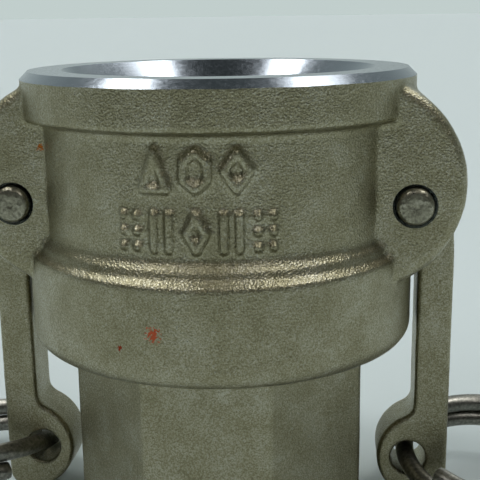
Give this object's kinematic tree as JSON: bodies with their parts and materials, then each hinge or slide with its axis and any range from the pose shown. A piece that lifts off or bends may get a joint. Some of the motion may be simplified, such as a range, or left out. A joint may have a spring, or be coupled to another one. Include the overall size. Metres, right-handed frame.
{
  "type": "camlock coupling",
  "caption": "Cast stainless cam-and-groove hose coupler with two swinging cam arms, split pull rings, inner gasket and a female pipe thread in its octagonal neck.",
  "frame": {"origin": "centre of the neck's bottom face, which the coupler stands on", "axes": "+Z out of the mouth along the bore; the two cam arms hang along +X and -X; hinge pins run along Y"},
  "size_m": [0.1072, 0.053, 0.0621],
  "materials": {
    "cast_stainless": "blasted investment casting, machined mouth",
    "arm_stainless": "blasted investment casting",
    "pin_steel": "drawn rod, domed ends",
    "ring_wire": "drawn wire",
    "gasket_rubber": "moulded, matt"
  },
  "bodies": {
    "root": {"coupler_body": "cast_stainless", "gasket": "gasket_rubber", "hinge_pin_left": "pin_steel", "hinge_pin_right": "pin_steel"},
    "arm_left": {"cam_arm_left": "arm_stainless"},
    "arm_right": {"cam_arm_right": "arm_stainless"},
    "ring_left": {"pull_ring_left": "ring_wire"},
    "ring_right": {"pull_ring_right": "ring_wire"}
  },
  "joints": [
    {"name": "arm_left_swing", "type": "hinge", "parent": "root", "child": "arm_left", "pos_m": [-0.0258, 0, 0.0454], "axis": [0, 1, 0], "range_deg": [0, 120]},
    {"name": "arm_right_swing", "type": "hinge", "parent": "root", "child": "arm_right", "pos_m": [0.0258, 0, 0.0454], "axis": [0, -1, 0], "range_deg": [0, 120]},
    {"name": "ring_left_swing", "type": "hinge", "parent": "arm_left", "child": "ring_left", "pos_m": [-0.02655, 0, 0.0073], "axis": [0, 1, 0], "range_deg": [-80, 65]},
    {"name": "ring_right_swing", "type": "hinge", "parent": "arm_right", "child": "ring_right", "pos_m": [0.02655, 0, 0.0073], "axis": [0, -1, 0], "range_deg": [-80, 65]}
  ]
}
